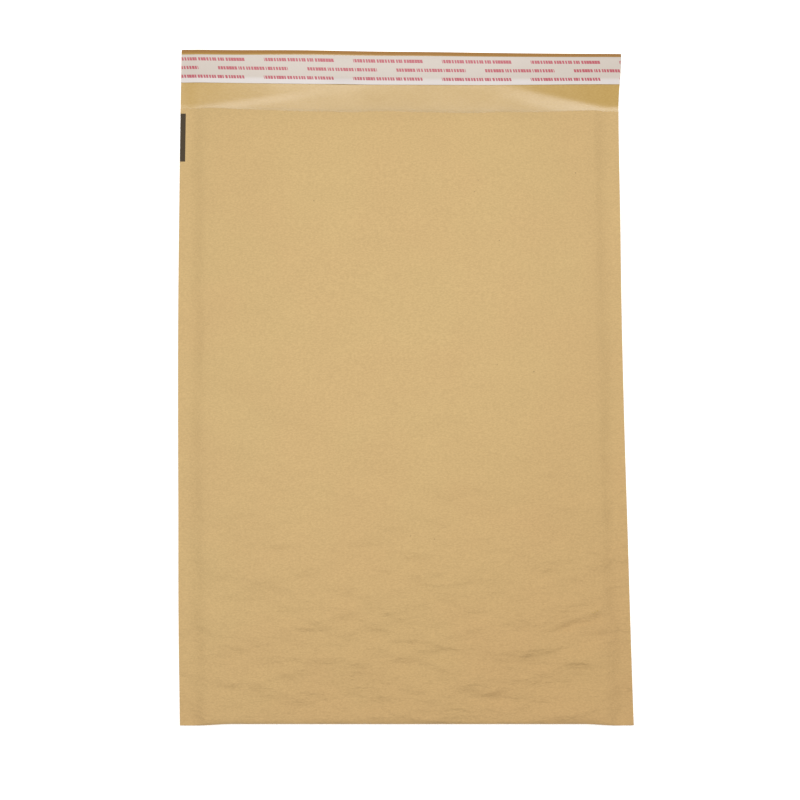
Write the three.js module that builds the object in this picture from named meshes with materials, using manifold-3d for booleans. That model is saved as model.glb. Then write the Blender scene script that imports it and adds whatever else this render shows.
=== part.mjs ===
// A padded mailing envelope: kraft paper outside, bubble film inside, a gummed flap with its release liner.
//
// It lies on its back with the flap open. +Z is up, +Y runs from the bottom fold to the flap's free edge
// and +X runs across to the right-hand side seal. The origin is on the table, under the middle of the whole
// length and width. All sizes are in millimetres.
//
// The paper is one sheet. It starts at the mouth of the front panel, runs down over the padding, turns at the
// bottom fold, runs back underneath as the back panel, and goes on past the mouth as the flap. The two
// panels are sealed to each other along both sides. The bubble film follows the paper round the same fold.

import * as THREE from "three";
import { mergeVertices } from "three/addons/utils/BufferGeometryUtils.js";
import Module from "manifold-3d";

const wasm = await Module();
wasm.setup();

// ---- Driving dimensions -------------------------------------------------------------------------------

const WIDTH = 254; // across, side seals included
const BODY_LENGTH = 352; // bottom fold to mouth
const FLAP_LENGTH = 35.5; // mouth to the flap's free edge
const SEAL_WIDTH = 9; // each heat-sealed side seam

const PAPER = 0.15; // coated kraft
const SEALED = 0.4; // a side seal: two papers and the melted film between them
const CUSHION = 3.5; // one layer of bubble film
const SLACK = 0.25; // between the paper and the film
const CLOSED_POCKET = 0.4; // least room between the film's two layers

const SHOULDER = 20; // run over which the padding rises from a side seal
const NOSE = 5.5; // depth of the rounded bottom fold in the padded field
const NOSE_DRAW = 0.85; // how far the rounded fold is drawn back from its flat corners
const NOSE_DRAW_RUN = 20; // run over which it is drawn back
const CREASE = 0.2; // depth of the fold where the seals cross it
const MOUTH_DRAW = 4; // how far the bulge draws the front panel's cut edge back in the middle

const BULGE_RUN = 60; // run over which the front panel's bulge rises from a side seal
const GAPE_BODY = 6; // how far the front panel bulges over the pocket's middle
const GAPE_MOUTH = 8; // and at the mouth
const GAPE_RISE = 90; // run from the bottom fold to the body's full bulge
const MOUTH_RISE = 120; // run over which the bulge grows towards the mouth

const FLAP_CURL = 2.5; // rise of the flap's free edge
const FLAP_RELAX = 0.7; // share of the side lift that the flap has lost at its free edge
const SIDE_SWING = 4.8; // how far the long edges swing to +X between the mouth and the bottom fold
const FLAP_FLARE = 2.3; // how far the flap's right-hand end stands out past the drawn-in body

const LINER_WIDTH = 17;
const LINER_THICKNESS = 0.1;
const LINER_INSET = 2.5; // flap's free edge to the liner
const GUM_WIDTH = 12;
const GUM_THICKNESS = 0.15;
const GUM_INSET = 4; // flap's free edge to the adhesive
const STRIP_GAP = 0.15; // under the adhesive, and between it and the liner
const STRIP_END = 0.5; // the strips stop this far short of the flap's side edges

const FILM_SETBACK = 1.5; // film ends this far inside the mouth
const FILM_SIDE = 4.2; // film ends this far inside the side seals
const WELD_WIDTH = 5; // film's two layers welded together along each side
const POCKET_FLOOR = 6; // pocket's bottom, past the end of the rounded fold
const MELT_INSET = 1.5; // melted film starts this far into a side seal
const MELT_TRIM = 0.05; // and stops this far short of the paper's edges

// ---- Places worked out from them ----------------------------------------------------------------------

const HALF = WIDTH / 2;
const FIELD = HALF - SEAL_WIDTH; // half width of the padded field
const FOLD_Y = -(BODY_LENGTH + FLAP_LENGTH) / 2;
const MOUTH_Y = FOLD_Y + BODY_LENGTH;
const EDGE_Y = MOUTH_Y + FLAP_LENGTH;
const STACK = 2 * (PAPER + SLACK + CUSHION) + CLOSED_POCKET; // padded height with the pocket closed
const SEAM_Z = STACK / 2; // mid height of the side seals and of the bottom fold
const FILM_HALF = FIELD - FILM_SIDE;
const POCKET_HALF = FILM_HALF - WELD_WIDTH;
const LINER_TOP = EDGE_Y - LINER_INSET;
const LINER_FOOT = LINER_TOP - LINER_WIDTH;
const GUM_TOP = EDGE_Y - GUM_INSET;
const GUM_FOOT = GUM_TOP - GUM_WIDTH;

const clamp01 = (t) => Math.min(1, Math.max(0, t));
const ease = (t) => clamp01(t) ** 2 * (3 - 2 * clamp01(t));
const mix = (a, b, t) => a + (b - a) * t;

// n + 1 values from a to b.
const steps = (a, b, n) => Array.from({ length: n + 1 }, (_, i) => mix(a, b, i / n));

// ---- Shape of the filled envelope ---------------------------------------------------------------------

// 0 on a side seal, 1 where the padding has its full height.
const fill = (x) => ease((FIELD - Math.abs(x)) / SHOULDER);
const paddedHeight = (x) => mix(SEALED, STACK, fill(x));
const bulge = (x) => ease((FIELD - Math.abs(x)) / BULGE_RUN);

function gape(x, y) {
  const toMouth = ease((y - MOUTH_Y) / MOUTH_RISE + 1);
  const height = GAPE_BODY * ease((y - FOLD_Y) / GAPE_RISE) + (GAPE_MOUTH - GAPE_BODY) * toMouth;
  return height * bulge(x);
}

const under = (x) => SEAM_Z - paddedHeight(x) / 2;
const over = (x, y) => SEAM_Z + paddedHeight(x) / 2 + gape(x, y);
const foldY = (x) => FOLD_Y + NOSE_DRAW * ease((FIELD - Math.abs(x)) / NOSE_DRAW_RUN);
const mouthY = (x) => MOUTH_Y - MOUTH_DRAW * bulge(x);
const noseDepth = (x) => mix(CREASE, NOSE, fill(x));

// The flap leaves the back panel at the mouth, loses most of its side lift and curls up a little.
function flapUnder(x, y) {
  const along = (y - MOUTH_Y) / FLAP_LENGTH;
  return under(x) * (1 - FLAP_RELAX * along) + FLAP_CURL * along ** 2;
}

// The sides aren't cut quite square to the fold. The swing is centred, so the box stays on the origin.
const swing = (y) => SIDE_SWING * (((y - MOUTH_Y) / BODY_LENGTH) ** 2 - 0.5);
const flare = (x, y) => FLAP_FLARE * clamp01(x / HALF) * ease((y - MOUTH_Y) / FLAP_LENGTH);
const place = (x, y, z) => new THREE.Vector3(x + swing(y) + flare(x, y), y, z);

// ---- Grids of points ----------------------------------------------------------------------------------

const SHOULDER_COLUMNS = 6;
const MIDDLE_COLUMNS = 5;
const BODY_ROWS = 12;
const NOSE_ANGLES = [75, 50, 28, 9].map((degrees) => (degrees * Math.PI) / 180);
const FLAP_ROWS = [
  MOUTH_Y + 4,
  MOUTH_Y + 10,
  LINER_FOOT,
  GUM_FOOT,
  (GUM_FOOT + GUM_TOP) / 2,
  GUM_TOP,
  LINER_TOP,
  EDGE_Y,
];

// Columns across the envelope, close together on the shoulders, within a half width.
function columns(halfWidth) {
  const shoulder = steps(FIELD, FIELD - SHOULDER, SHOULDER_COLUMNS);
  const middle = steps(FIELD - SHOULDER, 0, MIDDLE_COLUMNS).slice(1);
  const half = [halfWidth, ...[...shoulder, ...middle].filter((x) => x < halfWidth - 0.5)];
  return [...half.map((x) => -x), ...half.slice(0, -1).reverse()];
}

// The front panel's rows, from its cut edge to the tip of the fold.
function frontGrid(xs) {
  const start = (x) => foldY(x) + noseDepth(x);
  const panel = steps(0, 1, BODY_ROWS).map((v) =>
    xs.map((x) => {
      const y = mix(mouthY(x), start(x), v);
      return place(x, y, over(x, y));
    }),
  );
  const nose = NOSE_ANGLES.map((angle) =>
    xs.map((x) => {
      const y = foldY(x) + noseDepth(x) * (1 - Math.cos(angle));
      return place(x, y, SEAM_Z + (over(x, start(x)) - SEAM_Z) * Math.sin(angle));
    }),
  );
  return [...panel, ...nose];
}

// The back panel's rows, from the tip of the fold to the mouth.
function backGrid(xs) {
  const start = (x) => foldY(x) + noseDepth(x);
  const nose = NOSE_ANGLES.toReversed().map((angle) =>
    xs.map((x) => {
      const y = foldY(x) + noseDepth(x) * (1 - Math.cos(angle));
      return place(x, y, SEAM_Z - (paddedHeight(x) / 2) * Math.sin(angle));
    }),
  );
  const panel = steps(0, 1, BODY_ROWS).map((v) =>
    xs.map((x) => place(x, mix(start(x), MOUTH_Y, v), under(x))),
  );
  return [...nose, ...panel];
}

// Rows of the flap's underside at the given places along Y.
const flapGrid = (xs, ys) => ys.map((y) => xs.map((x) => place(x, y, flapUnder(x, y))));

// The grid moved along its own normals, which point into the envelope and up from the flap.
function offset(grid, distance) {
  const within = (i, list) => Math.min(list.length - 1, Math.max(0, i));
  const at = (r, c) => grid[within(r, grid)][within(c, grid[0])];
  return grid.map((row, r) =>
    row.map((point, c) => {
      const along = at(r + 1, c).clone().sub(at(r - 1, c));
      const across = at(r, c + 1).clone().sub(at(r, c - 1));
      return point.clone().addScaledVector(across.cross(along).normalize(), distance);
    }),
  );
}

// ---- Solids -------------------------------------------------------------------------------------------

// The closed solid between two grids of the same size, walled in all round. The grids' rows run so that
// row direction x column direction points outwards on the outer one.
function solidBetween(outer, inner) {
  const rows = outer.length;
  const cols = outer[0].length;
  const innerStart = rows * cols;
  const faces = [];
  const quad = (a, b, c, d) => faces.push(a, b, c, a, c, d);
  for (let r = 0; r < rows - 1; r++) {
    for (let c = 0; c < cols - 1; c++) {
      const a = r * cols + c;
      const b = innerStart + a;
      quad(a, a + cols, a + cols + 1, a + 1);
      quad(b, b + 1, b + cols + 1, b + cols);
    }
  }
  const rim = [
    ...steps(0, cols - 1, cols - 1),
    ...steps(cols - 1, rows * cols - 1, rows - 1).slice(1),
    ...steps(rows * cols - 1, (rows - 1) * cols, cols - 1).slice(1),
    ...steps((rows - 1) * cols, 0, rows - 1).slice(1),
  ].map(Math.round);
  for (let i = 0; i < rim.length - 1; i++) {
    quad(rim[i], rim[i + 1], innerStart + rim[i + 1], innerStart + rim[i]);
  }
  const geometry = new THREE.BufferGeometry().setFromPoints([...outer.flat(), ...inner.flat()]);
  geometry.setIndex(faces);
  const { attributes, index } = mergeVertices(geometry);
  const vertProperties = attributes.position.array;
  const triVerts = new Uint32Array(index.array);
  return new wasm.Manifold(new wasm.Mesh({ numProp: 3, vertProperties, triVerts }));
}

function geometryOf(solid) {
  const { vertProperties, triVerts } = solid.getMesh();
  const geometry = new THREE.BufferGeometry();
  geometry.setAttribute("position", new THREE.BufferAttribute(vertProperties, 3));
  geometry.setIndex(new THREE.BufferAttribute(triVerts, 1));
  geometry.computeVertexNormals();
  return geometry;
}

// ---- Kraft paper: front panel, bottom fold, back panel and flap ---------------------------------------

// The melted film that joins the two panels along one side, reaching half way into both papers.
function meltedSeam(side) {
  const xs = [side * (FIELD + MELT_INSET), side * (HALF - MELT_TRIM)].sort((a, b) => a - b);
  const ys = steps(FOLD_Y + MELT_INSET, MOUTH_Y - MELT_TRIM, BODY_ROWS);
  const faceAt = (z) => ys.map((y) => xs.map((x) => place(x, y, z)));
  const halfHeight = (SEALED - PAPER) / 2;
  return solidBetween(faceAt(SEAM_Z - halfHeight), faceAt(SEAM_Z + halfHeight));
}

function kraftEnvelope() {
  const xs = [-HALF, ...columns(FIELD), HALF];
  const outside = [...frontGrid(xs), ...backGrid(xs), ...flapGrid(xs, FLAP_ROWS)];
  const sheet = solidBetween(outside, offset(outside, PAPER));
  return sheet.add(meltedSeam(-1)).add(meltedSeam(1));
}

// ---- Bubble film: one cushion folded round the bottom, welded along both sides, open at the mouth -----

// The room that the film's two layers leave between them. It runs out past the mouth, to cut it open.
function pocket() {
  const xs = columns(POCKET_HALF);
  const foot = FOLD_Y + NOSE_DRAW + NOSE + POCKET_FLOOR;
  const ys = steps(MOUTH_Y, foot, BODY_ROWS);
  const layer = (x) => (paddedHeight(x) - CLOSED_POCKET) / 2;
  const roof = ys.map((y) => xs.map((x) => place(x, y, over(x, y) - layer(x))));
  const floor = ys.map((y) => xs.map((x) => place(x, y, under(x) + layer(x))));
  return solidBetween(roof, floor);
}

function bubbleLining() {
  const xs = columns(FILM_HALF);
  const front = offset(frontGrid(xs), PAPER + SLACK);
  const back = offset(backGrid(xs), PAPER + SLACK).reverse();
  const trimmed = (grid, edge) => [
    grid[0].map((point, c) => point.clone().setY(edge(xs[c]) - FILM_SETBACK)),
    ...grid.slice(1),
  ];
  const cushion = solidBetween(
    trimmed(front, mouthY),
    trimmed(back, () => MOUTH_Y),
  );
  return cushion.subtract(pocket());
}

// ---- Strips on the flap -------------------------------------------------------------------------------

// A strip across the flap's inner face, at a height above the paper, between two places along Y.
function flapStrip(foot, top, height, thickness) {
  const xs = [STRIP_END - HALF, ...columns(FIELD), HALF - STRIP_END];
  const ys = FLAP_ROWS.filter((y) => y >= foot && y <= top);
  const paper = flapGrid(xs, ys);
  return solidBetween(offset(paper, PAPER + height), offset(paper, PAPER + height + thickness));
}

const adhesiveStrip = () => flapStrip(GUM_FOOT, GUM_TOP, STRIP_GAP, GUM_THICKNESS);
const releaseLiner = () =>
  flapStrip(LINER_FOOT, LINER_TOP, 2 * STRIP_GAP + GUM_THICKNESS, LINER_THICKNESS);

// ---- Materials and the finished group -----------------------------------------------------------------

const KRAFT = new THREE.MeshStandardMaterial({ color: 0xd4b481, roughness: 0.85, metalness: 0 });
const FILM = new THREE.MeshStandardMaterial({
  color: 0xe4e8ea,
  roughness: 0.25,
  metalness: 0,
  transparent: true,
  opacity: 0.55,
});
const GUM = new THREE.MeshStandardMaterial({ color: 0xd9c98f, roughness: 0.3, metalness: 0 });
const LINER = new THREE.MeshStandardMaterial({ color: 0xe6e2dd, roughness: 0.45, metalness: 0 });

const envelope = new THREE.Group();
const pieces = [
  ["kraft_envelope", kraftEnvelope, KRAFT],
  ["bubble_lining", bubbleLining, FILM],
  ["adhesive_strip", adhesiveStrip, GUM],
  ["release_liner", releaseLiner, LINER],
];
for (const [name, make, material] of pieces) {
  const mesh = new THREE.Mesh(geometryOf(make()), material);
  mesh.name = name;
  envelope.add(mesh);
}

export default envelope;
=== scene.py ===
"""A padded kraft mailing envelope, lying open on a pale studio floor.

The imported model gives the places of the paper, the bubble film, the adhesive and the release liner. The
pieces built here are worked out from those places in millimetres, and turned to metres as they are made.
x runs across the envelope, y from its bottom fold to the flap's free edge, and z up.
"""

import math

import bpy
import numpy as np
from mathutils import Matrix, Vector


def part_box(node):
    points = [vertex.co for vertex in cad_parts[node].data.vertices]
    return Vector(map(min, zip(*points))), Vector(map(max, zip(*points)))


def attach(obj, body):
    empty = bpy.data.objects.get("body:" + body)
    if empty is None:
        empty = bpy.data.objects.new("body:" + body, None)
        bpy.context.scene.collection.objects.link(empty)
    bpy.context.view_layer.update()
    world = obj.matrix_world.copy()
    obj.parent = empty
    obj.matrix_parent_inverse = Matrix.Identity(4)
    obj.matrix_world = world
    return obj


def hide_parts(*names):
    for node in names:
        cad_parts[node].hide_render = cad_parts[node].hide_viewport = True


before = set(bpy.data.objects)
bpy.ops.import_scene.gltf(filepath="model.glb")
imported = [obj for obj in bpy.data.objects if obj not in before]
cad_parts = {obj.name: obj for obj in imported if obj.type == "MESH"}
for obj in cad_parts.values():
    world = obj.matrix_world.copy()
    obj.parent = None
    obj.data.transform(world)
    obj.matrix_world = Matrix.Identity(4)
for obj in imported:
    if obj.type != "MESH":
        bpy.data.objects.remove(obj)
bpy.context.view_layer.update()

MM = 0.001


def box_mm(node):
    low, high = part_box(node)
    return np.array(low) / MM, np.array(high) / MM


# ---- Sizes of the envelope, in millimetres ----------------------------------------------------------------

SEAL = 9.0  # width of a side seal
SEALED = 0.4  # its thickness
PAPER = 0.15
CUSHION = 3.5  # one layer of bubble film
CLEARANCE = 0.25  # between the paper and the film
CLOSED_POCKET = 0.4
SHOULDER = 20.0  # run over which the padding rises from a side seal
SEAM_SETTLE = 11.0  # run over which the paper leaves the seal
SEAM_PEEL = 4.5  # it starts to leave this far inside the seal's width
SEAM_WANDER = 0.35  # how far that line strays on the front panel
NOSE = 5.5  # depth of the rounded bottom fold
NOSE_SQUARENESS = 0.75  # below 1, its section is squarer than an ellipse
NOSE_DRAW = 0.85  # how far it is drawn back from its flat corners
NOSE_DRAW_RUN = 20.0
CREASE = 0.2  # depth of the fold where a seal crosses it
MOUTH_DRAW = 4.0  # how far the front panel's cut edge is drawn back in the middle
GAPE_BODY = 6.0
GAPE_MOUTH = 8.0
BULGE_RUN = 60.0  # run over which the bulge rises from a side seal
GAPE_RISE = 90.0
MOUTH_RISE = 120.0
SIDE_SWING = 4.8  # how far the sides swing to the right between the mouth and the bottom fold
FLAP_FLARE = 2.3  # how far the flap's right-hand end stands out past the drawn-in body
FILM_SETBACK = 1.5  # the film ends this far inside the mouth
BACK_SETBACK = 5.5  # and this far along the back panel, hidden under the drawn-back front panel
LINER_WIDTH = 16.6
LINER_TILT = 0.004  # the liner isn't quite square to the flap

PAPER_LOW, PAPER_HIGH = box_mm("kraft_envelope")
FILM_LOW, FILM_HIGH = box_mm("bubble_lining")
GUM_LOW, GUM_HIGH = box_mm("adhesive_strip")
LINER_LOW = box_mm("release_liner")[0]

HALF = (PAPER_HIGH[0] - PAPER_LOW[0] - SIDE_SWING) / 2
FIELD = HALF - SEAL  # half width of the padded field
FOLD_Y = PAPER_LOW[1]
EDGE_Y = PAPER_HIGH[1]
MOUTH_Y = FILM_HIGH[1] + FILM_SETBACK
FLAP = EDGE_Y - MOUTH_Y
BODY = MOUTH_Y - FOLD_Y
STACK = 2 * (PAPER + CLEARANCE + CUSHION) + CLOSED_POCKET
SEAM_Z = STACK / 2
LINER_FOOT = LINER_LOW[1] + 0.1

MARK_EDGE = -HALF + 3.1 - SIDE_SWING / 2  # the printed mark runs from the left edge in to here
MARK_SPAN = (MOUTH_Y - 31.3, MOUTH_Y - 2.9)  # and over this stretch of y


def clamp(t):
    return np.clip(t, 0.0, 1.0)


def ease(t):
    t = clamp(t)
    return t * t * (3 - 2 * t)


def mix(a, b, t):
    return a + (b - a) * t


def hump(x, height, centre, width):
    return height * np.exp(-(((x - centre) / width) ** 2))


def ripple(seed, count, along_x, along_y):
    """A smooth random height of about 1: a sum of waves with wavelengths in the two ranges given."""
    rng = np.random.default_rng(seed)
    kx = 2 * math.pi / rng.uniform(*along_x, count) * rng.choice([-1, 1], count)
    ky = 2 * math.pi / rng.uniform(*along_y, count)
    phase = rng.uniform(0, 2 * math.pi, count)

    def height(x, y):
        total = sum(np.sin(a * x + b * y + c) for a, b, c in zip(kx, ky, phase))
        return total * math.sqrt(2 / count)

    return height


# ---- Creases in the front panel ---------------------------------------------------------------------------

# Each crease: depth, half width, then its points as (across from the middle, up from the bottom fold).
# A negative depth is a ridge.
CREASES = [
    (0.9, 1.4, [(80, 51.5), (90, 54.5), (101, 57.5), (111, 61), (119, 65)]),
    (-0.7, 1.6, [(78, 54.5), (89, 58), (100, 61), (110, 64.5), (117, 68)]),
    (-0.55, 3.6, [(38, 35), (55, 41), (70, 44), (86, 41), (98, 37), (120, 34)]),
    (0.45, 3.4, [(22, 36), (38, 31), (60, 35), (76, 37), (92, 33), (120, 30)]),
    (0.5, 2.4, [(-4, 87), (10, 76), (27, 65)]),
    (0.35, 2.6, [(-64, 134), (-38, 126), (-24, 117), (-12, 108)]),
    (0.35, 2.8, [(-84, 145), (-61, 137), (-38, 141), (-8, 140), (24, 137)]),
    (0.45, 2.4, [(-104, 74), (-88, 86), (-72, 96), (-55, 98), (-30, 93), (-5, 86)]),
    (0.3, 2.4, [(-8, 85), (18, 92), (48, 93)]),
    (-0.45, 2.6, [(-10, 66), (4, 55), (15, 49), (30, 53), (52, 62)]),
    (0.4, 2.2, [(-2, 50), (14, 43), (30, 40), (44, 43)]),
    (0.35, 2.2, [(-116, 23), (-100, 20), (-82, 23)]),
    (0.35, 2.2, [(-50, 46), (-36, 51), (-22, 50)]),
    (0.4, 2.0, [(72, 38), (90, 42), (110, 49)]),
    (0.5, 2.2, [(84, 20), (97, 24), (112, 22)]),
    (0.45, 2.0, [(60, 17), (76, 13), (95, 15), (112, 12)]),
    (-0.4, 2.2, [(8, 18), (26, 22), (44, 19), (60, 24)]),
    (0.8, 3.6, [(106, 44), (114, 43), (122, 44)]),
    (0.8, 3.6, [(106, 31), (114, 32), (122, 31)]),
]
CREASE_STEP = 2.5  # spacing of the points along a smoothed crease
CREASE_ROUND = 0.5  # radius of a crease's bottom
CREASE_LIP = 0.4  # raised lips beside it, as a share of its depth
CREASE_TAPER = 0.3  # share of its length over which it fades out, at each end
SMALL_CREASES = 170
CREASED_SHARE = 0.52  # share of the body's length that has small creases
SMALL_TURN = 0.3  # how far they turn from lying straight across, in radians
SMALL_REACH = (8, 26)  # half length
SMALL_BEND = 2.0
SMALL_DEPTH = (-0.32, 0.36)
SMALL_WIDTH = (1.8, 3.8)


def smooth_path(points):
    """A smooth path through the points, one point every CREASE_STEP, with each point's share of the way."""
    points = np.array(points, float)
    padded = np.vstack([2 * points[0] - points[1], points, 2 * points[-1] - points[-2]])
    path = []
    for p0, p1, p2, p3 in zip(padded, padded[1:], padded[2:], padded[3:]):
        count = max(2, int(np.linalg.norm(p2 - p1) / CREASE_STEP))
        t = np.linspace(0, 1, count, endpoint=False)[:, None]
        path.append(0.5 * (2 * p1 + (p2 - p0) * t + (2 * p0 - 5 * p1 + 4 * p2 - p3) * t ** 2
                           + (3 * p1 - p0 - 3 * p2 + p3) * t ** 3))
    path = np.vstack([*path, points[-1:]])
    return path, np.linspace(0, 1, len(path))


def crease_height(x, y, depth, width, points):
    """The height of one crease over a grid, tapering to nothing at both ends."""
    path, share = smooth_path(points)
    nearest = np.full(x.shape, np.inf)
    along = np.zeros(x.shape)
    for (ax, ay), (bx, by), sa, sb in zip(path, path[1:], share, share[1:]):
        length_squared = (bx - ax) ** 2 + (by - ay) ** 2
        t = clamp(((x - ax) * (bx - ax) + (y - ay) * (by - ay)) / length_squared)
        distance = np.hypot(x - mix(ax, bx, t), y - mix(ay, by, t))
        closer = distance < nearest
        nearest = np.where(closer, distance, nearest)
        along = np.where(closer, mix(sa, sb, t), along)
    rounded = np.hypot(nearest, CREASE_ROUND) - CREASE_ROUND
    profile = -np.exp(-rounded / width) + hump(nearest, CREASE_LIP, 2.4 * width, 1.5 * width)
    taper = ease(along / CREASE_TAPER) * ease((1 - along) / CREASE_TAPER)
    return depth * profile * taper


def small_creases():
    """Short shallow creases, mostly lying across the envelope, and crowded towards the bottom fold."""
    rng = np.random.default_rng(41)
    for _ in range(SMALL_CREASES):
        x = rng.uniform(-FIELD, FIELD)
        up = BODY * CREASED_SHARE * rng.uniform(0, 1) ** 1.5
        angle = rng.normal(0, SMALL_TURN)
        reach = rng.uniform(*SMALL_REACH)
        bend = rng.normal(0, SMALL_BEND)
        depth = rng.uniform(*SMALL_DEPTH) * (1 - up / BODY) ** 1.5
        dx, dy = reach * math.cos(angle), reach * math.sin(angle)
        yield depth, rng.uniform(*SMALL_WIDTH), [(x - dx, up - dy), (x, up + bend), (x + dx, up + dy)]


LONG_WAVES = ripple(3, 14, (60, 160), (26, 60))
SHORT_WAVES = ripple(8, 24, (22, 70), (9, 20))
LONG_DEPTH = (0.10, 0.42)  # height of the waves where the paper is calm, and what low paper adds to it
SHORT_DEPTH = (0.015, 0.15)
FILM_DROP = (0.5, 1.45)  # the same for how far the film lies below the paper's smooth bulge
CALM_RUN = 12.0  # the wrinkles fade out over this run before the mouth
LIP = 8.0  # run over which the mouth's cut edge droops
LIP_DROOP = 1.2


def lowness(y):
    """0 near the mouth, where the paper is calm, and 1 near the bottom fold, where it is creased."""
    return ease(1.15 - (y - FOLD_Y) / (0.7 * BODY))


def by_lowness(sizes, low):
    return sizes[0] + sizes[1] * low


def lip(x, y):
    """How far the front panel's cut edge droops."""
    return LIP_DROOP * (1 - clamp((mouth_y(x) - y) / LIP)) ** 2


def wrinkles(x, y):
    """Relief of the front panel over its smooth bulge."""
    low = lowness(y)
    relief = by_lowness(LONG_DEPTH, low) * LONG_WAVES(x, y) + by_lowness(SHORT_DEPTH, low) * SHORT_WAVES(x, y)
    for depth, width, points in [*CREASES, *small_creases()]:
        relief = relief + crease_height(x, y - FOLD_Y, depth, width, points)
    return relief * ease((mouth_y(x) - y) / CALM_RUN) - lip(x, y)


def film_relief(x, y):
    """The bubble film lies below the paper's deepest creases."""
    return -by_lowness(FILM_DROP, lowness(y)) - lip(x, y)


# ---- The envelope's surfaces ------------------------------------------------------------------------------

SEAL_SWAY = ripple(12, 5, (900, 1200), (90, 220))
SEAM_LINE = ripple(17, 9, (900, 1200), (20, 120))
SWAY = 0.5
SWAY_RUN = 4.0  # it starts this far inside the padded field
SWAY_SHIFT = 60.0  # the two seals sway and stray apart: each reads its waves this far to its own side
STRAY_SHIFT = 400.0
MOUTH_WAVES = ripple(21, 6, (28, 90), (400, 500))
MOUTH_WAVE = 0.25


def fill(x, wander=0.0):
    """0 on a side seal, 1 where the padding has its full height."""
    inside = FIELD + SEAM_PEEL + wander - np.abs(x)
    return (1 - (1 - clamp(inside / SHOULDER)) ** 2) * ease(inside / SEAM_SETTLE)


def bulge(x):
    return ease((FIELD - np.abs(x)) / BULGE_RUN)


def padded_height(x, wander=0.0):
    return mix(SEALED, STACK, fill(x, wander))


def gape(x, y):
    to_mouth = ease((y - MOUTH_Y) / MOUTH_RISE + 1)
    height = GAPE_BODY * ease((y - FOLD_Y) / GAPE_RISE) + (GAPE_MOUTH - GAPE_BODY) * to_mouth
    return height * bulge(x)


def seam_z(x, y):
    """Mid height of the sealed sides and the fold: the seals sway a little along their length."""
    outer = ease((np.abs(x) - FIELD + SWAY_RUN) / (SEAL + SWAY_RUN))
    return SEAM_Z + SWAY * outer * SEAL_SWAY(0, y + SWAY_SHIFT * np.sign(x))


def back_z(x, y):
    return seam_z(x, y) - padded_height(x) / 2


def front_z(x, y, relief=wrinkles):
    wander = SEAM_WANDER * SEAM_LINE(0, y + STRAY_SHIFT * np.sign(x))
    return seam_z(x, y) + padded_height(x, wander) / 2 + gape(x, y) + relief(x, y) * fill(x)


def fold_y(x):
    return FOLD_Y + NOSE_DRAW * ease((FIELD - np.abs(x)) / NOSE_DRAW_RUN)


def nose_depth(x):
    return mix(CREASE, NOSE, fill(x))


def mouth_y(x):
    return MOUTH_Y - MOUTH_DRAW * bulge(x) + MOUTH_WAVE * bulge(x) * MOUTH_WAVES(x, 0)


# The two ridges of the flap: the left-hand one's size, then the right-hand one's.
RIDGE_FADE = (10.0, 40.0)  # where it fades out, from the middle
RIDGE_STEP = (0.16, 0.5)  # how high it stands over the paper on the mouth's side
RIDGE_RUN = (0.14, 0.26)  # run of that step, as a share of the flap
RIDGE_FALL = (0.28, 0.75)  # share of its height that is lost by the free edge
RIDGE_FOOT = (0.04, 0.09)  # how far up the flap it is at the side seal, as a share of the flap
RIDGE_SLANT = 0.5  # and how much further where it fades out
LIFT_RUN = 35.0  # run over which the back panel's sides lift towards the mouth


def by_side(x, sizes):
    return np.where(x < 0, *sizes)


def side_lift(x, y):
    """A ridge slants from each side seal at the mouth towards the middle of the flap's free edge. The paper
    rises to it from the mouth, and falls beyond it to the table."""
    along = clamp((y - MOUTH_Y) / FLAP)
    fade = by_side(x, RIDGE_FADE)
    strength = clamp((np.abs(x) - fade) / (FIELD - fade))
    ridge_at = by_side(x, RIDGE_FOOT) + RIDGE_SLANT * (1 - strength)
    step = by_side(x, RIDGE_STEP) * ease(2 * strength)
    before = step * ease((ridge_at - along) / by_side(x, RIDGE_RUN))
    fall = by_side(x, RIDGE_FALL) * clamp((along - ridge_at) / (1 - ridge_at))
    return (seam_z(x, MOUTH_Y) - SEALED / 2) * strength ** 1.5 * (1 - fall) - before * strength


MARGIN = 3.2  # the flap droops beyond its liner, over this run
MARGIN_DROOP = 1.6
EDGE_CURL = 0.9  # how far the flap's free edge curls up all along
EDGE_ARCH = (1.9, 8, 60)  # and how much more near the middle: height, centre and half width
LEFT_ARCH = (2.0, -58, 34)  # and left of it, where more of the flap stands up


def free_edge_curl(x, y):
    along = clamp((y - MOUTH_Y) / FLAP)
    curl = (EDGE_CURL + hump(x, *EDGE_ARCH)) * along ** 5 + hump(x, *LEFT_ARCH) * along ** 2.5
    return curl - MARGIN_DROOP * clamp((y - EDGE_Y) / MARGIN + 1) ** 2


def under_z(x, y):
    """The underside of the back panel and the flap."""
    lifted = ease((y - MOUTH_Y) / LIFT_RUN + 1)
    return mix(back_z(x, y), side_lift(x, y), lifted) + free_edge_curl(x, y)


def flare(x, y):
    return FLAP_FLARE * clamp(x / HALF) * ease((y - MOUTH_Y) / FLAP)


def swing(y):
    share = (y - MOUTH_Y) / BODY
    return SIDE_SWING * (share * share - 0.5)


def place(x, y, z):
    x, y, z = np.broadcast_arrays(x, y, z)
    return np.stack([x + swing(y) + flare(x, y), y, z], axis=-1)


# ---- Grids of points over the sheet -----------------------------------------------------------------------


def joined(*spans):
    """Values in order from (start, end, count) spans that meet each other."""
    parts = [np.linspace(a, b, n, endpoint=False) for a, b, n in spans]
    return np.concatenate([*parts, [spans[-1][1]]])


def paper_columns():
    right = joined((0, FIELD - SHOULDER, 70), (FIELD - SHOULDER, FIELD, 13), (FIELD, HALF, 5))
    return np.concatenate([-right[:0:-1], right])


def front_rows(x, relief=wrinkles):
    share = joined((0, 0.5, 44), (0.5, 1, 132))[:, None]
    y = mix(mouth_y(x), fold_y(x) + nose_depth(x), share)
    return place(x, y, front_z(x, y, relief))


NOSE_TURN = 84.0  # degrees from the fold's tip to where each panel starts


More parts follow.
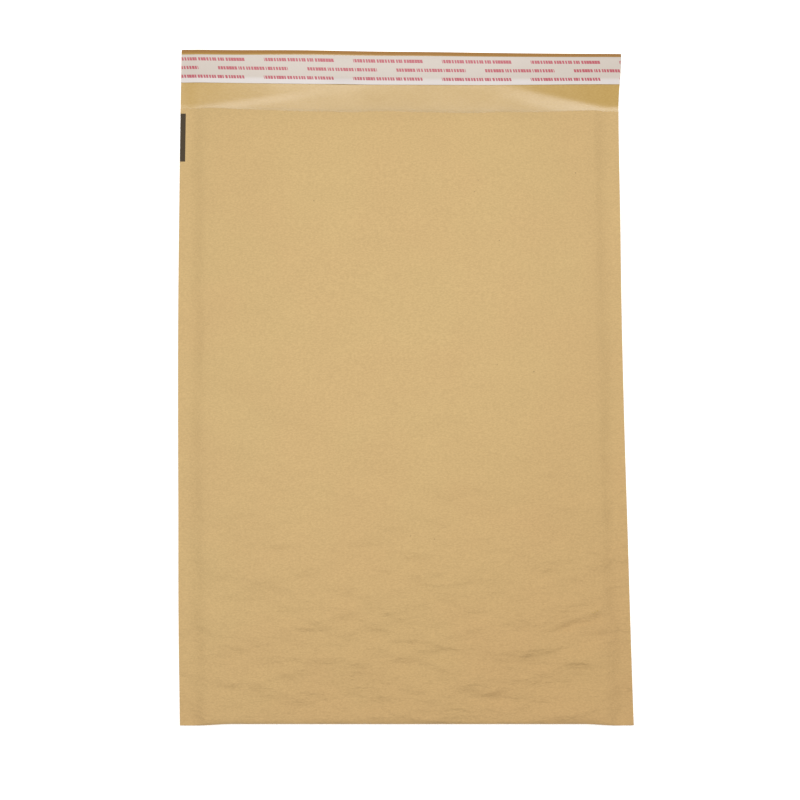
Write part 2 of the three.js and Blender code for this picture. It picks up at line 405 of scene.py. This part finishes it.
def nose_rows(x, relief=wrinkles):
    """From the end of the front panel, round the bottom fold, to the start of the back panel."""
    angle = np.radians(np.linspace(NOSE_TURN, -NOSE_TURN, 17))[:, None]
    start = fold_y(x) + nose_depth(x)
    y = start - nose_depth(x) * np.cos(angle) ** NOSE_SQUARENESS
    rise = np.where(angle > 0, front_z(x, start, relief), back_z(x, start)) - seam_z(x, start)
    return place(x, y, seam_z(x, start) + rise * np.abs(np.sin(angle)) ** NOSE_SQUARENESS)


BACK_DIMPLES = ripple(31, 20, (18, 60), (12, 40))
DIMPLE_DEPTH = 0.1
DIMPLE_FLOOR = 0.6  # waves lower than this leave the back panel on the table
DIMPLE_MARGIN = 0.04  # share of the panel's length left plain at each end


def back_rows(x):
    share = joined((0, 1, 56))[:, None]
    y = mix(fold_y(x) + nose_depth(x), MOUTH_Y, share)
    plain_ends = ease(share / DIMPLE_MARGIN) * ease((1 - share) / DIMPLE_MARGIN)
    dimples = DIMPLE_DEPTH * clamp(BACK_DIMPLES(x, y) - DIMPLE_FLOOR) * fill(x) * plain_ends
    return place(x, y, under_z(x, y) + dimples)


def flap_rows(x):
    share = joined((0, 1, 24))[1:, None]
    y = mix(MOUTH_Y, EDGE_Y, share)
    return place(x, y, under_z(x, y))


def normals(grid):
    """Unit normals of a grid. They point into the envelope, and up from the flap."""
    along = np.gradient(grid, axis=0)
    across = np.gradient(grid, axis=1)
    n = np.cross(across, along)
    return n / np.linalg.norm(n, axis=-1, keepdims=True)


# ---- Making meshes ----------------------------------------------------------------------------------------


def add_piece(name, vertices, faces, finishes, finish_of=None, flat=(), stands_for=()):
    """A mesh object of the given vertices, in millimetres, riding with the envelope. The faces in flat are
    cut edges, with sharp borders."""
    mesh = bpy.data.meshes.new(name)
    mesh.from_pydata((np.asarray(vertices) * MM).tolist(), [], faces)
    for finish in finishes:
        mesh.materials.append(finish)
    if finish_of is not None:
        mesh.polygons.foreach_set("material_index", finish_of)
    mesh.validate()
    mesh.polygons.foreach_set("use_smooth", np.ones(len(mesh.polygons), bool))
    for index in flat:
        wall = mesh.polygons[index]
        wall.use_smooth = False
        for corner in wall.loop_indices:
            mesh.edges[mesh.loops[corner].edge_index].use_edge_sharp = True
    mesh.update()
    piece = bpy.data.objects.new(name, mesh)
    bpy.context.scene.collection.objects.link(piece)
    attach(piece, "root")
    if stands_for:
        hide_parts(*stands_for)
    return piece


def sheet_between(outer, inner):
    """Vertices and faces of the closed sheet between two grids, and how many faces each side has."""
    rows, cols = outer.shape[:2]
    index = np.arange(rows * cols).reshape(rows, cols)
    a, b, c, d = index[:-1, :-1], index[1:, :-1], index[1:, 1:], index[:-1, 1:]
    under = np.stack([a, b, c, d], -1).reshape(-1, 4)
    over = under[:, ::-1] + rows * cols
    rim = np.concatenate([index[0, :], index[1:, -1], index[-1, -2::-1], index[-2:0:-1, 0]])
    ahead = np.roll(rim, -1)
    walls = np.stack([rim, ahead, ahead + rows * cols, rim + rows * cols], -1)
    vertices = np.concatenate([outer.reshape(-1, 3), inner.reshape(-1, 3)])
    return vertices, np.concatenate([under, over, walls]).tolist(), len(under)


# ---- Shader maths -----------------------------------------------------------------------------------------


class Wire:
    """The value at a node's output. Arithmetic on it adds Math nodes."""

    def __init__(self, finish, socket):
        self.finish = finish
        self.socket = socket

    def maths(self, operation, *values):
        sockets = dict(enumerate(values))
        return self.finish.node("ShaderNodeMath", {"operation": operation}, sockets)

    def __add__(self, other):
        return self.maths("ADD", self, other)

    def __sub__(self, other):
        return self.maths("SUBTRACT", self, other)

    def __rsub__(self, other):
        return self.maths("SUBTRACT", other, self)

    def __mul__(self, other):
        return self.maths("MULTIPLY", self, other)

    def __truediv__(self, other):
        return self.maths("DIVIDE", self, other)

    def __lt__(self, other):
        return self.maths("LESS_THAN", self, other)

    def __gt__(self, other):
        return self.maths("GREATER_THAN", self, other)

    def __mod__(self, other):
        return self.maths("FLOORED_MODULO", self, other)

    def size(self):
        return self.maths("ABSOLUTE", self)

    __radd__ = __add__
    __rmul__ = __mul__


class Finish:
    """A material being built round one Principled shader."""

    def __init__(self, name, **constants):
        self.material = bpy.data.materials.new(name)
        self.material.use_nodes = True
        self.tree = self.material.node_tree
        self.tree.nodes.clear()
        self.shader = self.tree.nodes.new("ShaderNodeBsdfPrincipled")
        output = self.tree.nodes.new("ShaderNodeOutputMaterial")
        self.tree.links.new(self.shader.outputs["BSDF"], output.inputs["Surface"])
        for socket, value in constants.items():
            self.shader.inputs[socket.replace("_", " ")].default_value = value

    def feed(self, socket, value):
        if isinstance(value, Wire):
            self.tree.links.new(value.socket, socket)
        else:
            socket.default_value = value

    def node(self, kind, settings=None, sockets=None, out=0):
        """Adds a node: its settings first, then its sockets' values or wires."""
        made = self.tree.nodes.new(kind)
        for name, value in (settings or {}).items():
            setattr(made, name, value)
        for key, value in (sockets or {}).items():
            self.feed(made.inputs[key], value)
        return Wire(self, made.outputs[out])

    def surface(self, **sockets):
        for name, value in sockets.items():
            self.feed(self.shader.inputs[name.replace("_", " ")], value)
        return self.material

    def position(self):
        return self.node("ShaderNodeTexCoord", out="Object")

    def split(self, vector):
        """The vector's x, y and z in millimetres."""
        parts = self.node("ShaderNodeSeparateXYZ", sockets={0: vector}).socket.node
        return [Wire(self, socket) / MM for socket in parts.outputs]

    def stretched(self, vector, x, y, z):
        return self.multiplied(vector, (x, y, z))

    def noise(self, vector, scale, detail=2.0, roughness=0.5):
        """Noise of about 0 to 1. The scale is in cycles per metre."""
        sockets = {"Vector": vector, "Scale": scale, "Detail": detail, "Roughness": roughness}
        return self.node("ShaderNodeTexNoise", {"noise_dimensions": "3D"}, sockets)

    def chance(self, value):
        """A random number from 0 to 1 for each value."""
        return self.node("ShaderNodeTexWhiteNoise", {"noise_dimensions": "1D"}, {"W": value})

    def between(self, value, low, high):
        return (value > low) * (value < high)

    def ramped(self, value, low, high):
        """0 below low, 1 above high, and smooth between."""
        settings = {"interpolation_type": "SMOOTHSTEP"}
        return self.node("ShaderNodeMapRange", settings, {0: value, 1: low, 2: high, 3: 0.0, 4: 1.0})

    def blended(self, factor, a, b):
        return self.node("ShaderNodeMix", {"data_type": "RGBA"}, {0: factor, 6: a, 7: b}, out=2)

    def multiplied(self, a, b):
        return self.node("ShaderNodeVectorMath", {"operation": "MULTIPLY"}, {0: a, 1: b})

    def shaded(self, colour, amount):
        """The colour made lighter or darker by a factor that varies round 1."""
        return self.node("ShaderNodeVectorMath", {"operation": "SCALE"}, {0: colour, "Scale": amount})

    def bumped(self, height, depth_mm, normal=None):
        sockets = {"Height": height, "Distance": depth_mm * MM, "Strength": 1.0}
        if normal is not None:
            sockets["Normal"] = normal
        return self.node("ShaderNodeBump", sockets=sockets)


def colour(red, green, blue):
    """A colour given in 0 to 255 as a screen shows it."""
    def linear(c):
        c /= 255
        return c / 12.92 if c <= 0.04045 else ((c + 0.055) / 1.055) ** 2.4
    return (linear(red), linear(green), linear(blue), 1.0)


# ---- Finishes ---------------------------------------------------------------------------------------------

KRAFT_ROSY = colour(182, 153, 106)
KRAFT_OLIVE = colour(182, 155, 107)
KRAFT_DARK = colour(159, 134, 92)
KRAFT_PALE = colour(194, 165, 115)
FALLOFF_SHADE_TINT = (0.935, 0.875, 0.835, 1.0)  # painted shade: darker towards the bottom right, where the light falls off, and a little warmer there
COATED = colour(162, 129, 59)
COATED_PALE = colour(171, 139, 71)
COATED_RIM_SHADED = colour(146, 103, 42)  # along the flap's free edge: a more saturated tone, with painted shade of the drooping edge
MARK = colour(56, 48, 38)
LINER = colour(180, 170, 160)
LINER_BRIGHT = colour(193, 186, 182)
INK = colour(158, 28, 58)

FALLOFF_SHADE_RUN = (40, -270)  # where the painted shade starts, and where it is full, in millimetres of y - 0.6 x
CRUMPLE_RUN = (40, -210)  # the same for the crumple, of y - 0.25 x
PUCKER_RISE = (FIELD - 11, FIELD - 5)  # where the puckers along a side seam start, and where they are full
PUCKER_FALL = (FIELD + 4, FIELD)  # and where they end, out on the seal
SHADED_RIM_RUN = (EDGE_Y - 3.4, EDGE_Y - 1.6)  # where the rim's saturated tone and painted shade start, and where they are full
SPECK_RADIUS = 0.034


def paper_grain(finish, position):
    """The sheet's cloudy formation, its long fibres lying across the envelope, and a fine tooth."""
    clouds = finish.noise(finish.stretched(position, 0.6, 1, 1), 70, 3, 0.55)
    fibres = finish.noise(finish.stretched(position, 0.5, 1.0, 1.0), 1500, 3, 0.6)
    tooth = finish.noise(position, 2600, 2, 0.5)
    return clouds, fibres, tooth


def paper_colour(finish, position, x, y, fibres, clouds, tooth):
    """Kraft brown that drifts between rosy and olive, streaked by its fibres, with a few dark specks, and
    painted shade towards the bottom right.
    """
    mottle = finish.noise(position, 24, 2, 0.5)
    paper = finish.blended(finish.ramped(mottle, 0.3, 0.7), KRAFT_ROSY, KRAFT_OLIVE)
    streaks = finish.blended(finish.ramped(fibres, 0.3, 0.7), KRAFT_DARK, KRAFT_PALE)
    paper = finish.blended(0.32, paper, streaks)
    paper = finish.shaded(paper, 0.87 + 0.06 * clouds + 0.2 * tooth)
    # painted shade: the paper is darkened and warmed towards the bottom right, where the light falls off
    low = finish.ramped(y - 0.6 * x, *FALLOFF_SHADE_RUN)
    paper = finish.multiplied(paper, finish.blended(low, (1.0, 1.0, 1.0, 1.0), FALLOFF_SHADE_TINT))
    spots = finish.node("ShaderNodeTexVoronoi", {"feature": "F1"}, {"Vector": position, "Scale": 75.0})
    speck = (spots < SPECK_RADIUS) * (finish.noise(position, 38, 0) > 0.62)
    return finish.blended(0.35 * speck, paper, MARK)


def paper_relief(finish, position, x, y, fibres, tooth):
    """Grain, the fine puckers along the side seams, and a soft crumple that grows towards the bottom."""
    across = (x - swing(y)).size()
    seam = finish.ramped(across, *PUCKER_RISE) * finish.ramped(across, *PUCKER_FALL)
    puckers = finish.noise(finish.stretched(position, 0.18, 1.0, 1.0), 520, 1)
    fine = finish.noise(finish.stretched(position, 0.42, 1.0, 1.0), 190, 3, 0.6)
    broad = finish.noise(finish.stretched(position, 0.5, 1.0, 1.0), 62, 2, 0.5)
    creased = finish.ramped(y - 0.25 * x, *CRUMPLE_RUN)
    crumple = (fine - 0.5).size() * 8.0 + fine * 20.0 + (broad - 0.5).size() * 25.0 + broad * 85.0
    height = fibres + tooth * 0.8 + 4.0 * seam * puckers + crumple * (0.08 + creased)
    return finish.bumped(height, 0.05)


def kraft_outside():
    finish = Finish("kraft_paper_outside", Roughness=0.88, Specular_IOR_Level=0.25)
    position = finish.position()
    x, y, _ = finish.split(position)
    clouds, fibres, tooth = paper_grain(finish, position)
    paper = paper_colour(finish, position, x, y, fibres, clouds, tooth)
    facing = finish.node("ShaderNodeNewGeometry", out="Normal")
    on_front = finish.node("ShaderNodeSeparateXYZ", sockets={0: facing}, out=2) > 0
    mark = (x < MARK_EDGE) * finish.between(y, *MARK_SPAN) * on_front
    printed = finish.blended(mark * (0.93 + 0.07 * fibres), paper, MARK)
    return finish.surface(Base_Color=printed, Normal=paper_relief(finish, position, x, y, fibres, tooth))


def kraft_inside():
    finish = Finish(
        "kraft_paper_coated_inside", Roughness=0.6, Specular_IOR_Level=0.2, Coat_Roughness=0.25, Coat_IOR=1.7,
    )
    position = finish.position()
    clouds, fibres, tooth = paper_grain(finish, position)
    paper = finish.blended(finish.ramped(fibres, 0.25, 0.75), COATED, COATED_PALE)
    # painted shade along the drooping free edge, with a more saturated tone
    rim = finish.ramped(finish.split(position)[1], *SHADED_RIM_RUN)
    paper = finish.blended(rim, paper, COATED_RIM_SHADED)
    paper = finish.shaded(paper, 0.94 + 0.1 * clouds + 0.02 * tooth)
    relief = finish.bumped(clouds * 0.8 + fibres * 0.2, 0.12)
    return finish.surface(Base_Color=paper, Normal=relief, Coat_Weight=0.55 + 0.35 * clouds)


def bubble_plastic():
    finish = Finish("bubble_film_plastic", IOR=1.5, Base_Color=(0.95, 0.95, 0.93, 1.0))
    position = finish.position()
    haze = finish.noise(position, 260, 3)
    scuffs = finish.noise(finish.stretched(position, 1, 3, 1), 600, 2)
    relief = finish.bumped(haze, 0.08)
    return finish.surface(Alpha=0.34 + 0.2 * haze, Roughness=0.1 + 0.2 * scuffs, Normal=relief)


def hot_melt():
    finish = Finish("hot_melt_adhesive", IOR=1.48)
    position = finish.position()
    lumps = finish.noise(finish.stretched(position, 0.2, 1, 1), 700, 3)
    tint = finish.blended(lumps, colour(196, 176, 116), colour(214, 198, 150))
    return finish.surface(Base_Color=tint, Roughness=0.2 + 0.2 * lumps, Normal=finish.bumped(lumps, 0.06))


# The liner's print: rows of bars in groups. Every second row is shifted, and has its groups the other way.
PRINT_PERIOD = 51.8  # from one set of groups to the next
PRINT_LENGTH = 40.4  # of one set
PRINT_GROUPS = [(0.0, 10.9), (11.8, 15.4), (16.3, 26.8), (27.6, PRINT_LENGTH)]
PRINT_ROWS = [(3.4, 0.0, True), (8.6, 25.2, False), (13.7, 0.0, True)]  # height, shift, turned round
PRINT_START = -81.5
PRINT_TILT = 0.003  # the print isn't quite square to the liner
BAR_PITCH = 1.6
BAR_HEIGHT = 1.9
BAR_SLANT = 0.25


def liner_print(finish, across, up):
    """1 on the printed bars. across and up are measured along and over the liner from its lower edge."""
    print_mask = 0
    for centre, shift, reversed_groups in PRINT_ROWS:
        row = finish.between(up, centre - BAR_HEIGHT / 2, centre + BAR_HEIGHT / 2)
        along = (across + (up - centre) * BAR_SLANT - (PRINT_START + shift)) % PRINT_PERIOD
        if reversed_groups:
            along = PRINT_LENGTH - along
        groups = sum(finish.between(along, a, b) for a, b in PRINT_GROUPS)
        in_bar = along % BAR_PITCH
        bars = in_bar < 0.95 + 0.55 * finish.chance(along - in_bar + centre)
        print_mask = print_mask + row * groups * bars
    return print_mask


def liner_front():
    finish = Finish("release_liner_printed", Roughness=0.42, Specular_IOR_Level=0.4)
    position = finish.position()
    x, y, _ = finish.split(position)
    up = y - LINER_FOOT - LINER_TILT * x
    up_print = up + PRINT_TILT * x
    grain = finish.noise(finish.stretched(position, 0.5, 1, 1), 1200, 3)
    clouds = finish.noise(position, 90, 2)
    paper = finish.blended(finish.ramped(up, 4.6, 2.2), LINER, LINER_BRIGHT)
    paper = finish.shaded(paper, 0.96 + 0.04 * grain + 0.05 * clouds)
    ink = liner_print(finish, x, up_print) * (0.72 + 0.3 * grain)
    paper = finish.blended(ink, paper, INK)
    return finish.surface(Base_Color=paper, Normal=finish.bumped(grain, 0.02))


def liner_back():
    finish = Finish("release_liner_silicone_side", Specular_IOR_Level=0.5)
    haze = finish.noise(finish.position(), 300, 2)
    tint = finish.blended(haze, LINER, LINER_BRIGHT)
    return finish.surface(Base_Color=tint, Roughness=0.25 + 0.1 * haze)


# ---- Pieces -----------------------------------------------------------------------------------------------


def kraft_sheet():
    """The whole paper: front panel, bottom fold, back panel and flap."""
    x = paper_columns()
    outer = np.concatenate([front_rows(x), nose_rows(x)[1:-1], back_rows(x), flap_rows(x)])
    inner = outer + PAPER * normals(outer)
    vertices, faces, side = sheet_between(outer, inner)
    finish_of = np.zeros(len(faces), np.int32)
    finish_of[side:2 * side] = 1
    add_piece(
        "kraft_paper_sheet", vertices, faces, [kraft_outside(), kraft_inside()],
        finish_of, np.arange(2 * side, len(faces)), ["kraft_envelope"],
    )


BUBBLES_ACROSS = 20
BUBBLE_ROWS = 72
BUBBLE_RADIUS = 4.65
BUBBLE_HEIGHT = 2.9
BUBBLE_RISE = 14.0  # run over which the bubbles grow to that height, from the fold and from the mouth
FOLD_BARE = 8.0  # no bubbles this close to the bottom fold
MOUTH_START = 3.0  # they have already begun to grow this far outside the film's cut end
FILM_WELD = 0.08  # height of the welded film between bubbles
FIRST_CORNER = 5  # a cell's outline starts this many of its twelve steps before the +x direction
BUBBLE_RINGS = [(1.0, 0.0), (0.93, 0.62), (0.62, 0.93), (0.0, 1.0)]  # radius and height of each ring


class FilmPath:
    """The bubble film's path: a place across the envelope and along the sheet gives a point in space."""

    def __init__(self):
        self.x = paper_columns()
        nose = nose_rows(self.x, film_relief)[1:-1]
        self.paper = np.concatenate([front_rows(self.x, film_relief), nose, back_rows(self.x)])
        self.inward = normals(self.paper)
        middle = self.paper[:, len(self.x) // 2]
        steps = np.linalg.norm(np.diff(middle, axis=0), axis=1)
        self.run = np.concatenate([[0], np.cumsum(steps)])
        self.start = FILM_SETBACK
        self.end = self.run[-1] - BACK_SETBACK
        self.fold = self.run[np.argmin(middle[:, 1])]

    def sample(self, values, x, run):
        i = np.clip(np.searchsorted(self.run, run) - 1, 0, len(self.run) - 2)
        j = np.clip(np.searchsorted(self.x, x) - 1, 0, len(self.x) - 2)
        s = ((run - self.run[i]) / (self.run[i + 1] - self.run[i]))[:, None]
        t = ((x - self.x[j]) / (self.x[j + 1] - self.x[j]))[:, None]
        return mix(mix(values[i, j], values[i, j + 1], t), mix(values[i + 1, j], values[i + 1, j + 1], t), s)

    def at(self, x, run, lift):
        depth = (PAPER + CLEARANCE / 2 + lift)[:, None]
        return self.sample(self.paper, x, run) + depth * self.sample(self.inward, x, run)


def bubble_film():
    """One sheet of bubble film round the inside of the paper: a flat backing and a domed film."""
    path = FilmPath()
    film_half = (FILM_HIGH[0] - FILM_LOW[0] - SIDE_SWING) / 2
    pitch = 2 * film_half / BUBBLES_ACROSS
    row_pitch = (path.end - path.start) / BUBBLE_ROWS
    quarter = pitch / 4
    columns = 4 * BUBBLES_ACROSS + 1
    rng = np.random.default_rng(5)

    flat = []  # (x, run, lift) of each vertex
    faces = []
    lines = {}

    def corner(row_half, column, level):
        """A vertex shared by neighbouring cells, at a half row and a quarter pitch."""
        key = (row_half, column, level)
        if key not in lines:
            lines[key] = len(flat)
            flat.append((
                -film_half + column * quarter, path.start + row_half * row_pitch / 2, level * FILM_WELD,
            ))
        return lines[key]

    def cell_outline(row, first, last, level):
        """The cell's vertices, anticlockwise seen from the pocket."""
        low, mid, high = 2 * row, 2 * row + 1, 2 * row + 2
        lower = [corner(low, c, level) for c in range(first, last + 1)]
        upper = [corner(high, c, level) for c in range(last, first - 1, -1)]
        return [*lower, corner(mid, last, level), *upper, corner(mid, first, level)]

    def room(x, run):
        """How tall a bubble may stand: less beside the side welds, in the bottom fold and by the mouth."""
        edge = min(abs(x) + BUBBLE_RADIUS, HALF)
        over_weld = (float(padded_height(np.float64(edge))) - SEALED) / 2 - 2 * CLEARANCE
        to_end = min(run - path.start, path.end - run)
        by_fold = BUBBLE_HEIGHT * float(ease((abs(run - path.fold) - FOLD_BARE) / BUBBLE_RISE))
        by_mouth = BUBBLE_HEIGHT * float(ease((to_end + MOUTH_START) / BUBBLE_RISE))
        return max(0.0, min(BUBBLE_HEIGHT, over_weld, by_fold, by_mouth))

    def dome(outline, x, run):
        height = room(x, run) * rng.uniform(0.92, 1.0)
        if height < 4 * FILM_WELD:
            faces.append(outline)  # no room for a bubble, so the film is welded flat
            return
        count = len(outline)
        ring = outline
        for radius, rise in BUBBLE_RINGS[:-1]:
            start = len(flat)
            for k in range(count):
                angle = 2 * math.pi * (k - FIRST_CORNER) / count
                flat.append((
                    x + BUBBLE_RADIUS * radius * math.cos(angle),
                    run + BUBBLE_RADIUS * radius * math.sin(angle),
                    FILM_WELD + height * rise,
                ))
            inner_ring = list(range(start, start + count))
            for k in range(count):
                ahead = (k + 1) % count
                faces.append([ring[k], ring[ahead], inner_ring[ahead], inner_ring[k]])
            ring = inner_ring
        top = len(flat)
        flat.append((x, run, FILM_WELD + height))
        faces.extend([ring[k], ring[(k + 1) % count], top] for k in range(count))

    for row in range(BUBBLE_ROWS):
        odd = row % 2
        spans = [(c, c + 4) for c in range(2 * odd, columns - 4, 4)]
        if odd:
            spans = [(0, 2), *spans, (columns - 3, columns - 1)]
        for first, last in spans:
            outline = cell_outline(row, first, last, 1)
            faces.append(cell_outline(row, first, last, 0)[::-1])
            if last - first == 4:
                x = -film_half + (first + 2) * quarter
                dome(outline, x, path.start + (row + 0.5) * row_pitch)
            else:
                faces.append(outline)

    def wall(keys):
        for (r0, c0), (r1, c1) in zip(keys, keys[1:]):
            faces.append([corner(r0, c0, 0), corner(r1, c1, 0), corner(r1, c1, 1), corner(r0, c0, 1)])

    ends = 2 * BUBBLE_ROWS
    wall([(0, c) for c in range(columns)])
    wall([(r, columns - 1) for r in range(ends + 1)])
    wall([(ends, c) for c in range(columns - 1, -1, -1)])
    wall([(r, 0) for r in range(ends, -1, -1)])

    x, run, lift = np.array(flat).T
    vertices = path.at(x, run, lift)
    piece = add_piece(
        "bubble_film_lining", vertices, faces, [bubble_plastic()],
        stands_for=["bubble_lining"],
    )


def strip_on_flap(x, y, lift):
    """Points over the flap's inner face, lifted off it."""
    x, y, lift = np.broadcast_arrays(x, y, lift)
    return place(x, y, under_z(x, y) + PAPER + lift)


GUM_BEADS = 7
GUM_END = 0.6  # the band stops this far short of the flap's sides
GUM_BED = 0.03  # its underside is this far off the paper
GUM_RIM = 0.05  # and its top this far, at its edges
GUM_HEIGHT = 0.13
GUM_SLOPE = 0.06  # share of its width that slopes down to the paper, at each edge


def adhesive():
    """The hot-melt band: parallel beads that the roller has flattened into one line."""
    x = np.linspace(GUM_END - HALF, HALF - GUM_END, 120)
    share = np.linspace(0, 1, 6 * GUM_BEADS + 1)[:, None]
    y = mix(GUM_LOW[1], GUM_HIGH[1], share)
    crown = ease(share / GUM_SLOPE) * ease((1 - share) / GUM_SLOPE)
    beads = 0.8 + 0.2 * np.cos(2 * math.pi * GUM_BEADS * share)
    top = strip_on_flap(x, y, GUM_RIM + GUM_HEIGHT * crown * beads)
    vertices, faces, _ = sheet_between(strip_on_flap(x, y, GUM_BED), top)
    add_piece(
        "hot_melt_adhesive_band", vertices, faces, [hot_melt()],
        stands_for=["adhesive_strip"],
    )


LINER_END = 0.1  # the liner stops this far short of the flap's sides
LINER_LIFT = 0.2  # it lies this far off the paper, on the adhesive
FREE_RUN = 4.0  # and lifts a little more over this run below the adhesive
FREE_LIFT = 0.075
LINER_WAVES = [(0.45, -34, 9), (0.1, 20, 30), (0.125, 100, 12)]  # height, centre and half width of each
LINER_THICKNESS = 0.08


def liner():
    """The release liner: stuck down along the adhesive, with its lower edge free and a little wavy."""
    x = np.linspace(LINER_END - HALF, HALF - LINER_END, 240)
    share = np.linspace(0, 1, 26)[:, None]
    y = LINER_FOOT + LINER_TILT * x + LINER_WIDTH * share
    free = ease((GUM_LOW[1] + 1 - y) / FREE_RUN)
    lift = LINER_LIFT + free * (FREE_LIFT + sum(hump(x, *wave) for wave in LINER_WAVES))
    under = strip_on_flap(x, y, lift)
    over = strip_on_flap(x, y, lift + LINER_THICKNESS)
    vertices, faces, side = sheet_between(under, over)
    finish_of = np.zeros(len(faces), np.int32)
    finish_of[:side] = 1
    add_piece(
        "release_liner_strip", vertices, faces, [liner_front(), liner_back()],
        finish_of, np.arange(2 * side, len(faces)), ["release_liner"],
    )


# ---- Studio -----------------------------------------------------------------------------------------------


def studio_floor():
    reach = 4.0
    drop = -0.0001  # just below the envelope's flat back
    mesh = bpy.data.meshes.new("studio_floor")
    corners = [(-reach, -reach, drop), (reach, -reach, drop), (reach, reach, drop), (-reach, reach, drop)]
    mesh.from_pydata(corners, [], [(0, 1, 2, 3)])
    finish = Finish(
        "studio_floor", Base_Color=(0.93, 0.93, 0.93, 1.0), Roughness=0.9,
        Emission_Color=(1.0, 1.0, 1.0, 1.0), Emission_Strength=0.3,
    )
    mesh.materials.append(finish.surface())
    floor = bpy.data.objects.new("studio_floor", mesh)
    bpy.context.scene.collection.objects.link(floor)


def soft_light(name, size, place_m, aim_m, watts):
    lamp = bpy.data.lights.new(name, "AREA")
    lamp.shape = "RECTANGLE"
    lamp.size, lamp.size_y = size
    lamp.energy = watts
    light = bpy.data.objects.new(name, lamp)
    bpy.context.scene.collection.objects.link(light)
    light.location = place_m
    light.rotation_euler = (Vector(aim_m) - Vector(place_m)).to_track_quat("-Z", "Y").to_euler()


def studio_sky(strength):
    world = bpy.data.worlds.new("studio_sky")
    world.use_nodes = True
    background = world.node_tree.nodes["Background"]
    background.inputs["Color"].default_value = (1.0, 1.0, 1.0, 1.0)
    background.inputs["Strength"].default_value = strength
    bpy.context.scene.world = world


def camera():
    """Looks down on the envelope from a little below its middle, leaning towards the flap."""
    lens = bpy.data.cameras.new("camera")
    lens.lens = 79.1
    lens.sensor_width = 36.0
    lens.clip_start = 0.01
    eye = bpy.data.objects.new("camera", lens)
    bpy.context.scene.collection.objects.link(eye)
    eye.location = (-0.0226, -0.11475, 1.0)
    eye.rotation_mode = "ZYX"
    eye.rotation_euler = (math.radians(5.96), math.radians(-1.17), math.radians(0.22))
    bpy.context.scene.camera = eye


camera()
studio_floor()
studio_sky(0.45)
soft_light("overhead_softbox", (0.9, 0.77), (0.0, 0.08, 1.1), (0.0, 0.08, 0.0), 13.7)
bpy.context.scene.view_settings.view_transform = "Standard"

kraft_sheet()
bubble_film()
adhesive()
liner()
